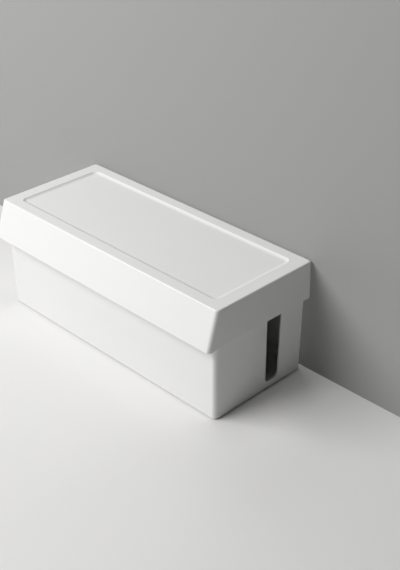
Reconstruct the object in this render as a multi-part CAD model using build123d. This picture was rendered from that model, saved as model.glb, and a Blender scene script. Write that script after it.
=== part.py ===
"""Cable management box: a moulded tub for a power strip and its spare cord, with a lid that lifts off.

Millimetres. +X is the right end, -Y the front and +Z up. The origin lies on the surface that the box
stands on, under the middle of the box's outline.
"""

from build123d import *
import os
from math import cos, radians, sin, tan

os.makedirs("parts", exist_ok=True)

# Tub: one moulding, open at the top and widest at its rim.
tub_length = 309.8  # outside, at the rim
tub_width = 124.9  # outside, at the rim
tub_height = 114.1  # from its underside to its rim
tub_draft = 0.7  # degrees that each wall leans outwards
tub_wall = 2.0
tub_floor = 2.4
tub_corner = 4.5  # outside radius of the upright corners
tub_floor_round = 2.2  # inside radius where the walls meet the floor
tub_base_round = 0.5  # outside radius round the underside

# Cord slots: one in each end wall, open at the rim so that a cord is laid in from above.
slot_width = 18.0  # at its bottom edge
slot_draft = 0.9  # degrees that each side leans outwards towards the rim
slot_set_back = 17.8  # from the tub's middle plane towards the back
slot_sill = 7.6  # from the underside up to the slot's bottom edge
slot_corner = 4.5  # radius of the two bottom corners
slot_mouth_round = 3.0  # radius where the slot opens at the rim

# Feet: soft discs in round sockets in the underside.
foot_radius = 7.0
foot_proud = 1.2  # how far a foot stands out of the underside
foot_socket = 1.2  # depth of the socket that holds it
foot_clearance = 0.15  # radial, between a foot and its socket
foot_inset = 20.0  # from the tub's outer faces at its underside to a foot's centre
foot_edge_round = 0.4

# Lid: one moulding, a top with a sunken tray and a skirt that hangs over the tub.
lid_wall = 2.4
lid_top = 2.2  # thickness of the top and of the tray
lid_rise = 8.4  # from the tub's rim up to the lid's top face
lid_skirt = 39.9  # from the top face down to the skirt's lower edge
lid_draft = 0.8  # degrees that the ends and the back lean inwards towards the top
lid_front_lean = 17.1  # degrees that the front leans outwards towards its lower edge
lid_clearance = 0.6  # between the tub's rim and the inside of the skirt, all round
lid_corner = 3.8  # outside radius of the upright corners
lid_top_round = 1.8  # radius round the top face

# Tray: the shallow recess in the lid's top.
tray_depth = 1.8
tray_rim_end = 14.8  # width of the raised rim at the two ends
tray_rim_side = 12.5  # width of the raised rim at the front and back
tray_slope = 40.0  # degrees from the level, of the tray's wall where it leaves the rim
tray_corner = 6.5  # plan radius of the tray's corners
tray_floor_round = 6.9  # radius of the hollow between the tray's wall and its floor
tray_edge_round = 0.6  # radius where the tray's wall meets the rim

# Seat ribs: stepped gussets inside the skirt. Each rests on the tub's rim and guides the lid sideways.
rib_thickness = 1.6
rib_land = 3.0  # how far a rib reaches inside the tub's wall
rib_clearance = 0.4  # between a rib and the outside of the tub's rim
rib_above_hem = 13.7  # from the skirt's lower edge up to a rib's lower end
rib_lead_in = 6.0  # height of the slanted end that guides the lid on
ribs_per_side = 4
rib_pitch = 90.0  # spacing of the ribs along the front and back
rib_end_offset = 38.0  # from the tub's middle plane to each of the two ribs at an end

# Small radius on the edges that fingers and cords touch.
edge_round = 0.5

# Levels
tub_underside = foot_proud
floor_level = tub_underside + tub_floor
sill_level = tub_underside + slot_sill
rim_level = tub_underside + tub_height
lid_level = rim_level + lid_rise
plate_level = lid_level - lid_top
tray_level = lid_level - tray_depth
hem_level = lid_level - lid_skirt

FROM_BELOW = (Align.CENTER, Align.CENTER, Align.MIN)


def skirt_reach(level, outward, lean):
    """How far outside the tub's rim a wall of the skirt stands: its inner face, moved squarely outwards."""
    slope = radians(lean)
    return lid_clearance - (level - rim_level) * tan(slope) + outward / cos(slope)


# The hem, the skirt's lower edge, is the box's outline, and the origin is under its middle.
hem_front = skirt_reach(hem_level, lid_wall, lid_front_lean)
hem_back = skirt_reach(hem_level, lid_wall, lid_draft)
tub_middle = (hem_front - hem_back) / 2


def tub_section(level, inward):
    """The tub's half length, front and back at a level, the given distance inside its outer faces."""
    slope = radians(tub_draft)
    shrink = (rim_level - level) * tan(slope) + inward / cos(slope)
    half_width = tub_width / 2 - shrink
    return tub_length / 2 - shrink, tub_middle - half_width, tub_middle + half_width


def lid_section(level, outward):
    """The lid's half length, front and back at a level, the given distance outside the skirt's inner faces."""
    side = skirt_reach(level, outward, lid_draft)
    front = skirt_reach(level, outward, lid_front_lean)
    half_width = tub_width / 2
    return tub_length / 2 + side, tub_middle - half_width - front, tub_middle + half_width + side


def rectangle_at(level, section):
    """The rectangle of a section, at its level."""
    half_length, front, back = section
    rectangle = Rectangle(2 * half_length, back - front)
    return Pos(0, (front + back) / 2, level) * rectangle


def drafted_block(low, low_section, high, high_section, radius):
    """A solid between two rectangles, with its four upright edges rounded."""
    block = loft([rectangle_at(low, low_section), rectangle_at(high, high_section)], ruled=True)
    upright = [e for e in block.edges() if abs(e.tangent_at(0.5).Z) > 0.5]
    return fillet(upright, radius)


def edges_at(shape, level):
    """The edges that lie at a level all along."""
    level_edges = []
    for edge in shape.edges():
        box = edge.bounding_box()
        if abs(box.min.Z - level) < 1e-3 and abs(box.max.Z - level) < 1e-3:
            level_edges.append(edge)
    return level_edges


def inner_radius(corner, wall):
    """The inside radius of a corner of even thickness, never quite sharp."""
    return max(corner - wall, edge_round)


def make_tub_shell():
    """The open box, with its outer base edge and its inner floor edge rounded."""
    shell = drafted_block(
        tub_underside,
        tub_section(tub_underside, 0),
        rim_level,
        tub_section(rim_level, 0),
        tub_corner,
    )
    shell = fillet(edges_at(shell, tub_underside), tub_base_round)
    corner = inner_radius(tub_corner, tub_wall)
    above = rim_level + tub_wall
    cavity = drafted_block(
        floor_level,
        tub_section(floor_level, tub_wall),
        above,
        tub_section(above, tub_wall),
        corner,
    )
    cavity = fillet(edges_at(cavity, floor_level), min(tub_floor_round, 0.9 * corner))
    return shell - cavity


def slot_half_width(level):
    """Half the width of a slot at a level: its two sides lean outwards towards the rim."""
    return slot_width / 2 + (level - sill_level) * tan(radians(slot_draft))


def make_slot_cutter():
    """A bar through both end walls: a slot open at the rim, with two round bottom corners."""
    above = 2 * rim_level - sill_level
    low, high = slot_half_width(sill_level), slot_half_width(above)
    sides = Polyline((-low, sill_level), (low, sill_level), (high, above), (-high, above), close=True)
    outline = Pos(tub_middle + slot_set_back, 0) * make_face(sides)
    lower = outline.vertices().sort_by(Axis.Y)[:2]
    return extrude(Plane.YZ * fillet(lower, slot_corner), amount=tub_length, both=True)


def is_slot_edge(edge):
    """Whether an edge follows the outline of a slot on a wall's face, and doesn't cross the wall."""
    centre = edge.center()
    reach = slot_half_width(rim_level) + slot_mouth_round
    near = abs(centre.Y - tub_middle - slot_set_back) < reach
    return near and centre.Z > sill_level - edge_round and abs(edge.tangent_at(0.5).X) < 0.5


def foot_centres():
    """X and Y of each foot's centre, by the foot's name."""
    half_length, front, back = tub_section(tub_underside, foot_inset)
    return {
        "foot_front_left": (-half_length, front),
        "foot_front_right": (half_length, front),
        "foot_back_left": (-half_length, back),
        "foot_back_right": (half_length, back),
    }


def make_tub():
    """The tub, with a cord slot in each end and a socket for each foot."""
    tub = make_tub_shell() - make_slot_cutter()
    mouth = [
        e
        for e in tub.edges().filter_by(Axis.X)
        if abs(e.center().Z - rim_level) < 1e-3 and e.length < 2 * tub_wall
    ]
    tub = fillet(mouth, slot_mouth_round)
    touched = edges_at(tub, rim_level) + [e for e in tub.edges() if is_slot_edge(e)]
    tub = fillet(list(set(touched)), min(edge_round, 0.45 * tub_wall))
    socket = Cylinder(foot_radius + foot_clearance, foot_socket, align=FROM_BELOW)
    for x, y in foot_centres().values():
        tub -= Pos(x, y, tub_underside) * socket
    return tub


def make_foot(x, y):
    """One soft disc with its lower edge rounded, standing where the box stands."""
    foot = Cylinder(foot_radius, foot_proud + foot_socket, align=FROM_BELOW)
    return Pos(x, y) * fillet(edges_at(foot, 0), foot_edge_round)


def tray_block(grow):
    """The tray's space, from the top face down to its floor, made larger by the given distance below and all round."""
    half_length, front, back = lid_section(lid_level, lid_wall)
    slope = radians(tray_slope)
    run = tray_depth / tan(slope)
    sideways = grow * tan(slope / 2)
    depth = tray_depth + grow
    length = 2 * (half_length - tray_rim_end - run + sideways)
    width = back - front - 2 * (tray_rim_side + run - sideways)
    corner = tray_corner - run + sideways
    spread = depth / tan(slope)
    floor = RectangleRounded(length, width, corner)
    mouth = RectangleRounded(length + 2 * spread, width + 2 * spread, corner + spread)
    centre, bottom = (front + back) / 2, lid_level - depth
    block = loft([Pos(0, centre, bottom) * floor, Pos(0, centre, lid_level) * mouth], ruled=True)
    largest_round = 0.9 * tray_depth / sin(slope) / tan(slope / 2)
    return fillet(edges_at(block, bottom), min(tray_floor_round, largest_round) + grow)


def make_rib(x, y, outward, lean):
    """A stepped gusset at a point of the tub's rim. It runs half way into the skirt and the top.

    Its outline gives the distance outside the tub's rim, then the level.
    """
    inner = -(tub_wall + rib_land)
    low = hem_level + rib_above_hem
    high = plate_level + lid_top / 2
    outline = Polyline(
        (inner, high),
        (inner, rim_level),
        (rib_clearance, rim_level),
        (rib_clearance, low + rib_lead_in),
        (skirt_reach(low, 0, lean), low),
        (skirt_reach(low, lid_wall / 2, lean), low),
        (skirt_reach(high, lid_wall / 2, lean), high),
        close=True,
    )
    up = Vector(0, 0, 1)
    plane = Plane(origin=(x, y, 0), x_dir=outward, z_dir=outward.cross(up))
    return extrude(plane * make_face(outline), amount=rib_thickness / 2, both=True)


def make_ribs():
    """The ribs along the front and back, and two at each end, clear of the cord slots."""
    half_length, half_width = tub_length / 2, tub_width / 2
    first = -rib_pitch * (ribs_per_side - 1) / 2
    ribs = []
    for i in range(ribs_per_side):
        x = first + i * rib_pitch
        ribs.append(make_rib(x, tub_middle - half_width, Vector(0, -1, 0), lid_front_lean))
        ribs.append(make_rib(x, tub_middle + half_width, Vector(0, 1, 0), lid_draft))
    for side in (-1, 1):
        for offset in (-rib_end_offset, rib_end_offset):
            ribs.append(make_rib(side * half_length, tub_middle + offset, Vector(side, 0, 0), lid_draft))
    return ribs


def is_tray_edge(edge):
    """Whether an edge of the top face borders the tray, and not the lid's outline."""
    half_length, front, back = lid_section(lid_level, lid_wall)
    centre = edge.center()
    across = abs(centre.Y - (front + back) / 2)
    return (
        abs(centre.X) < half_length - tray_rim_end / 2
        and across < (back - front) / 2 - tray_rim_side / 2
    )


def make_lid():
    """The lid: skirt, top with its tray, and seat ribs."""
    lid = drafted_block(
        hem_level,
        lid_section(hem_level, lid_wall),
        lid_level,
        lid_section(lid_level, lid_wall),
        lid_corner,
    )
    corner = inner_radius(lid_corner, lid_wall)
    below = hem_level - lid_wall
    hollow = drafted_block(
        below, lid_section(below, 0), plate_level, lid_section(plate_level, 0), corner
    )
    lid = lid - hollow + tray_block(lid_top) - tray_block(0)
    top_edges = edges_at(lid, lid_level)
    lid = fillet([e for e in top_edges if not is_tray_edge(e)], lid_top_round)
    tray_edges = [e for e in edges_at(lid, lid_level) if is_tray_edge(e)]
    lid = fillet(tray_edges, tray_edge_round)
    lid = fillet(edges_at(lid, hem_level), min(edge_round, 0.45 * lid_wall))
    for rib in make_ribs():
        lid += rib
    return lid


export_step(make_tub(), "parts/tub.step")
export_step(make_lid(), "parts/lid.step")
for name, (x, y) in foot_centres().items():
    export_step(make_foot(x, y), f"parts/{name}.step")
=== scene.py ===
"""Cable management box: a glossy white tub with a lift-off lid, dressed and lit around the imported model."""

from math import cos, radians, sin

import bpy
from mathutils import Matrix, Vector


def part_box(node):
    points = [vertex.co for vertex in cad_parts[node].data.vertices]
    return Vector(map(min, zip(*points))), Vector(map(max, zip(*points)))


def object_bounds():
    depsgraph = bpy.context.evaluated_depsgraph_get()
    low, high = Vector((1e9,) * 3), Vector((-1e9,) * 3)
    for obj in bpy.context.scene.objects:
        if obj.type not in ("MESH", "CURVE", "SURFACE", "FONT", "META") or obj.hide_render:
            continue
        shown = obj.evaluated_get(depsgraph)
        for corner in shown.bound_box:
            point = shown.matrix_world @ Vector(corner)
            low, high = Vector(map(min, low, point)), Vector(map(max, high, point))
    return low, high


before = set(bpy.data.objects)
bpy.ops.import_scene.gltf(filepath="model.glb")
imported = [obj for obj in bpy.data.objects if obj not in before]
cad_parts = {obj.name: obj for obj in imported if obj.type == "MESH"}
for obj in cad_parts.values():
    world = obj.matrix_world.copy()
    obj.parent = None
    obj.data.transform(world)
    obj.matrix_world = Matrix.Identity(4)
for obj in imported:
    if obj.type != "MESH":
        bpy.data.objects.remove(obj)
cad_low, cad_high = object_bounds()


# The camera stands to the right of the box's front, a little over a metre away, and looks down on the lid.
# Its long lens keeps the box's edges close to parallel.
def direction(azimuth, elevation):
    """The unit vector that points this many degrees round from the front and up from the table."""
    turn, rise = radians(azimuth), radians(elevation)
    return Vector((sin(turn) * cos(rise), -cos(turn) * cos(rise), sin(rise)))


camera_azimuth = 45.038
camera_elevation = 30.637
camera_distance = 1.13926
camera_target = Vector((0.0200, 0.05735, 0.04474))
camera_data = bpy.data.cameras.new("camera")
camera_data.sensor_width = 36.0
camera_data.lens = 68.296
camera = bpy.data.objects.new("camera", camera_data)
camera.location = camera_target + camera_distance * direction(camera_azimuth, camera_elevation)
camera.rotation_euler = (radians(90 - camera_elevation), 0, radians(camera_azimuth))
bpy.context.scene.collection.objects.link(camera)
bpy.context.scene.camera = camera
bpy.context.scene.view_settings.view_transform = "Standard"


# The floor is a pale table top, and the backdrop a plain grey wall close behind the box. Neither is part
# of the box. The wall shows only from its front, and takes no light away from the box's back.
class Socket:
    """A node's output in shader maths: an expression on sockets and numbers adds its Math nodes."""

    def __init__(self, recipe, output):
        self.recipe = recipe
        self.output = output

    def maths(self, operation, *others):
        """One Math node with this operation, on this output and then the others."""
        return self.recipe.node("ShaderNodeMath", {"operation": operation}, self, *others)

    def __add__(self, other):
        return self.maths("ADD", other)

    def __sub__(self, other):
        return self.maths("SUBTRACT", other)

    def __rsub__(self, other):
        return self.recipe.node("ShaderNodeMath", {"operation": "SUBTRACT"}, other, self)

    def __mul__(self, other):
        return self.maths("MULTIPLY", other)

    def __truediv__(self, other):
        return self.maths("DIVIDE", other)

    def __abs__(self):
        return self.maths("ABSOLUTE")

    __radd__ = __add__
    __rmul__ = __mul__

    def step(self, low, high):
        """0 up to the low value and 1 from the high one, with a smooth rise between them."""
        smooth = {"interpolation_type": "SMOOTHSTEP"}
        return self.recipe.node("ShaderNodeMapRange", smooth, self, low, high, 0.0, 1.0)

    def part(self, axis):
        """The X, Y or Z part of this vector."""
        return self.recipe.node("ShaderNodeSeparateXYZ", {}, self, out=axis)


class Recipe:
    """A material or world under construction, whose nodes all come from one method."""

    def __init__(self, owner):
        owner.use_nodes = True
        self.owner = owner
        self.tree = owner.node_tree
        self.tree.nodes.clear()

    def node(self, kind, settings=None, *values, out=0, **named):
        """A node of this kind: its settings are set first, then its sockets get values or links.

        The values go in order to the sockets that the settings leave in use, and the named ones to the
        sockets of those names. It gives back one output, several where their names are listed, or none
        from an output node.
        """
        made = self.tree.nodes.new(kind)
        for key, value in (settings or {}).items():
            setattr(made, key, value)
        inputs = [socket for socket in made.inputs if socket.enabled]
        filled = list(zip(inputs, values))
        filled += [(made.inputs[key.replace("_", " ")], value) for key, value in named.items()]
        for socket, value in filled:
            if isinstance(value, Socket):
                self.tree.links.new(value.output, socket)
            else:
                socket.default_value = value
        if isinstance(out, tuple):
            return [Socket(self, made.outputs[name]) for name in out]
        if isinstance(out, str):
            return Socket(self, made.outputs[out])
        outputs = [socket for socket in made.outputs if socket.enabled]
        return Socket(self, outputs[out]) if outputs else None

    def tint(self, factor, first, second):
        """The first colour, turning into the second one as the factor goes from 0 to 1."""
        return self.node("ShaderNodeMix", {"data_type": "RGBA"}, factor, (*first, 1), (*second, 1))

    def finish(self, shader):
        """Ends the material with this shader, and returns it."""
        self.node("ShaderNodeOutputMaterial", {}, Surface=shader)
        return self.owner


def flat_piece(name, corner, side, other_side, material):
    """A flat oblong that starts at a corner and runs along two sides."""
    mesh = bpy.data.meshes.new(name)
    mesh.from_pydata(
        [corner, corner + side, corner + side + other_side, corner + other_side], [], [(0, 1, 2, 3)]
    )
    mesh.materials.append(material)
    plane = bpy.data.objects.new(name, mesh)
    bpy.context.scene.collection.objects.link(plane)


stage_reach = 1.6
stage_side = Vector((2 * stage_reach, 0, 0))
table_depth = Vector((0, 2 * stage_reach, 0))
wall_height = Vector((0, 0, 2.0))
wall_gap = 0.0006
table_colour = (0.85, 0.845, 0.83, 1)
table_roughness = 0.55
wall_colour = (0.36, 0.36, 0.355, 1)
wall_roughness = 0.9

table_top = Recipe(bpy.data.materials.new("table_top"))
table_shader = table_top.node(
    "ShaderNodeBsdfPrincipled", {}, Base_Color=table_colour, Roughness=table_roughness
)
table_corner = Vector((-stage_reach, -stage_reach, 0))
flat_piece("table", table_corner, stage_side, table_depth, table_top.finish(table_shader))

wall_paint = Recipe(bpy.data.materials.new("wall_paint"))
paint = wall_paint.node("ShaderNodeBsdfPrincipled", {}, Base_Color=wall_colour, Roughness=wall_roughness)
nothing = wall_paint.node("ShaderNodeBsdfTransparent")
seen, mirrored = wall_paint.node("ShaderNodeLightPath", out=("Is Camera Ray", "Is Glossy Ray"))
behind = wall_paint.node("ShaderNodeNewGeometry", out="Backfacing")
wall_shader = wall_paint.node("ShaderNodeMixShader", {}, (seen + mirrored) * (1 - behind), nothing, paint)
wall_corner = Vector((-stage_reach, cad_high.y + wall_gap, 0))
flat_piece("wall", wall_corner, stage_side, wall_height, wall_paint.finish(wall_shader))


# One wide soft lamp stands in front of the box on its left, above the lid. Three weak ones, overhead, on
# the left and behind, fill the shade. Around the stage lies a pale studio, which only the camera and the
# gloss of the plastic see.
def soft_lamp(name, azimuth, elevation, width, height, power):
    """An oblong lamp on a sphere round the box, turned to the box's middle."""
    towards_lamp = direction(azimuth, elevation)
    data = bpy.data.lights.new(name, "AREA")
    data.shape = "RECTANGLE"
    data.size = width
    data.size_y = height
    data.energy = power
    lamp = bpy.data.objects.new(name, data)
    lamp.location = lamp_target + lamp_distance * towards_lamp
    lamp.rotation_euler = towards_lamp.to_track_quat("Z", "Y").to_euler()
    bpy.context.scene.collection.objects.link(lamp)


lamp_target = Vector((0, 0, 0.06))
lamp_distance = 1.8
studio_white = 0.6
soft_lamp("key_lamp", azimuth=-31.5, elevation=40, width=1.5, height=0.65, power=29.7)
soft_lamp("overhead_lamp", azimuth=0, elevation=85, width=1.0, height=1.0, power=7.0)
soft_lamp("left_fill_lamp", azimuth=-120, elevation=40, width=0.8, height=0.8, power=3.0)
soft_lamp("back_lamp", azimuth=180, elevation=12, width=0.5, height=1.0, power=3.5)

studio = Recipe(bpy.data.worlds.new("studio"))
seen, mirrored = studio.node("ShaderNodeLightPath", out=("Is Camera Ray", "Is Glossy Ray"))
distance_glow = studio.node(
    "ShaderNodeBackground", {}, Color=(1, 1, 1, 1), Strength=(seen + mirrored) * studio_white
)
studio.node("ShaderNodeOutputWorld", {}, Surface=distance_glow)
bpy.context.scene.world = studio.owner


# The tub is one moulding of white plastic. Its outside comes off a polished mould, and its inside off a
# spark-eroded core, which leaves it duller. Round ejector pins pushed it off that core.
def noise(place, scale, detail=2.0):
    """A smooth random value round 0.5, whose lumps are about one over the scale across, in metres."""
    return place.recipe.node("ShaderNodeTexNoise", {}, Vector=place, Scale=scale, Detail=detail)


def drawn_noise(place, size, turn=0, detail=2.0):
    """A noise with lumps of this size along X, Y and Z, in metres, turned about the upright axis."""
    turned = (0, 0, radians(turn))
    measured = place.recipe.node(
        "ShaderNodeMapping", {"vector_type": "TEXTURE"}, Vector=place, Rotation=turned, Scale=size
    )
    return noise(measured, 1.0, detail)


def from_grid(coordinate, pitch):
    """How far the coordinate is past the nearest of lines one pitch apart, with 0 between two of them."""
    return ((coordinate / pitch).maths("FRACT") - 0.5) * pitch


def pin_rings(place):
    """Rings round the points of a square grid: 1 where the nearest point is one pin radius away."""
    across = from_grid(place.part("X"), pin_pitch)
    along = from_grid(place.part("Y"), pin_pitch)
    distance = (across * across + along * along).maths("SQRT")
    return 1 - abs(distance - pin_radius).step(0.0, ring_width)


def moulded_plastic(name, core, rubbed):
    """White plastic off a polished mould, with a faint orange peel, smears of wiping and a few rub marks.

    A face is an inside one where its normal points towards the core. There the plastic is duller and has
    a fine grain, and its level faces carry the ejector pins' rings. The rubbed function takes the place,
    and gives how far the gloss has gone there.
    """
    plastic = Recipe(bpy.data.materials.new(name))
    place, facing = plastic.node("ShaderNodeTexCoord", out=("Object", "Normal"))
    from_core = plastic.node("ShaderNodeVectorMath", {"operation": "SUBTRACT"}, place, core)
    outwards = plastic.node(
        "ShaderNodeVectorMath", {"operation": "DOT_PRODUCT"}, from_core, facing, out="Value"
    )
    inside = 1 - outwards.step(-side_blend, side_blend)
    level = abs(facing.part("Z")).step(0.95, 0.99)
    worn = rubbed(place)
    smears = noise(place, smear_scale, detail=3.0)
    greyed = noise(place, tone_scale).step(0.3, 0.7) * tone_share + worn * worn_share
    roughness = (
        polish_roughness + smears * smear_roughness + worn * worn_roughness + inside * core_roughness
    )
    peel = noise(place, peel_scale, detail=1.0) * peel_height
    grain = noise(place, grain_scale, detail=1.0) * inside * grain_height
    rings = pin_rings(place) * inside * level * ring_height
    height = peel + grain + rings - worn * worn_depth
    shader = plastic.node(
        "ShaderNodeBsdfPrincipled",
        {},
        Base_Color=plastic.tint(greyed, clean_white, greyed_white),
        Roughness=roughness,
        IOR=1.49,
        Normal=plastic.node("ShaderNodeBump", {}, Strength=1.0, Distance=1.0, Height=height),
    )
    return plastic.finish(shader)


def rim_rubs(place):
    """The marks that the lid's ribs leave just under the rim, in upright lines one rib pitch apart."""
    lines = 1 - abs(from_grid(place.part("X"), rib_pitch)).step(mark_middle, mark_edge)
    streaks = drawn_noise(place, streak_size).step(0.42, 0.6)
    return lines * place.part("Z").step(rub_low, rub_high) * streaks


clean_white = (0.873, 0.873, 0.867)
greyed_white = (0.83, 0.83, 0.82)
polish_roughness = 0.28
core_roughness = 0.16
peel_scale, peel_height = 260.0, 0.000009
grain_scale, grain_height = 2600.0, 0.000022
smear_scale, smear_roughness = 24.0, 0.08
tone_scale, tone_share = 7.0, 0.25
worn_share, worn_roughness, worn_depth = 0.6, 0.16, 0.00001
side_blend = 0.0004
pin_pitch, pin_radius = 0.045, 0.003
ring_width, ring_height = 0.0004, 0.00009
rib_pitch = 0.09
mark_middle, mark_edge = 0.0004, 0.0016
streak_size = (1 / 900, 1 / 900, 1 / 27)

tub_low, tub_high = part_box("tub")
rub_low, rub_high = tub_high.z - 0.025, tub_high.z - 0.004
tub_plastic = moulded_plastic("tub_plastic", (tub_low + tub_high) / 2, rim_rubs)
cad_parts["tub"].material_slots[0].material = tub_plastic


# The lid is a second moulding of the same plastic. Things that are put down on it and slid about have
# left hairlines on its top, in patches.
def hairlines(place, turn):
    """Fine straight scratches, 1 where they are deepest: the peaks of a noise drawn out along them."""
    return drawn_noise(place, hairline_size, turn, detail=0.0).step(0.70, 0.80)


def top_scuffs(place):
    """Hairlines in three directions on the lid's top, thickest in patches."""
    lines = hairlines(place, 24) + hairlines(place, 71) + hairlines(place, -38)
    patches = noise(place, patch_scale).step(0.45, 0.7)
    return lines * patches * place.part("Z").step(scuff_low, scuff_high)


hairline_size = (0.0007, 0.06, 0.0007)
patch_scale = 16.0
lid_low, lid_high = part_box("lid")
scuff_low, scuff_high = lid_high.z - 0.004, lid_high.z - 0.003
# The lid has no floor, so all its inside faces look towards a place far below it.
far_below = Vector((0, (lid_low.y + lid_high.y) / 2, -0.5))
lid_plastic = moulded_plastic("lid_plastic", far_below, top_scuffs)
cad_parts["lid"].material_slots[0].material = lid_plastic


# The feet are soft rubber discs, glued into the tub's sockets. They are matt and finely grained, and dust
# has greyed them where they touch the table.
rubber_grey = (0.31, 0.31, 0.31)
dusty_grey = (0.40, 0.395, 0.385)
rubber_roughness = 0.72
speck_scale, speck_roughness, speck_height = 900.0, 0.16, 0.00003
dust_low, dust_high = 0.0001, 0.0009

rubber = Recipe(bpy.data.materials.new("foot_rubber"))
place = rubber.node("ShaderNodeTexCoord", out="Object")
specks = noise(place, speck_scale, detail=3.0)
dusty = (1 - place.part("Z").step(dust_low, dust_high)) * specks.step(0.35, 0.65)
rubber_bump = rubber.node("ShaderNodeBump", {}, Strength=1.0, Distance=1.0, Height=specks * speck_height)
rubber_shader = rubber.node(
    "ShaderNodeBsdfPrincipled",
    {},
    Base_Color=rubber.tint(dusty, rubber_grey, dusty_grey),
    Roughness=rubber_roughness + specks * speck_roughness,
    IOR=1.5,
    Normal=rubber_bump,
)
foot_rubber = rubber.finish(rubber_shader)
for name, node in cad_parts.items():
    if name.startswith("foot_"):
        node.material_slots[0].material = foot_rubber
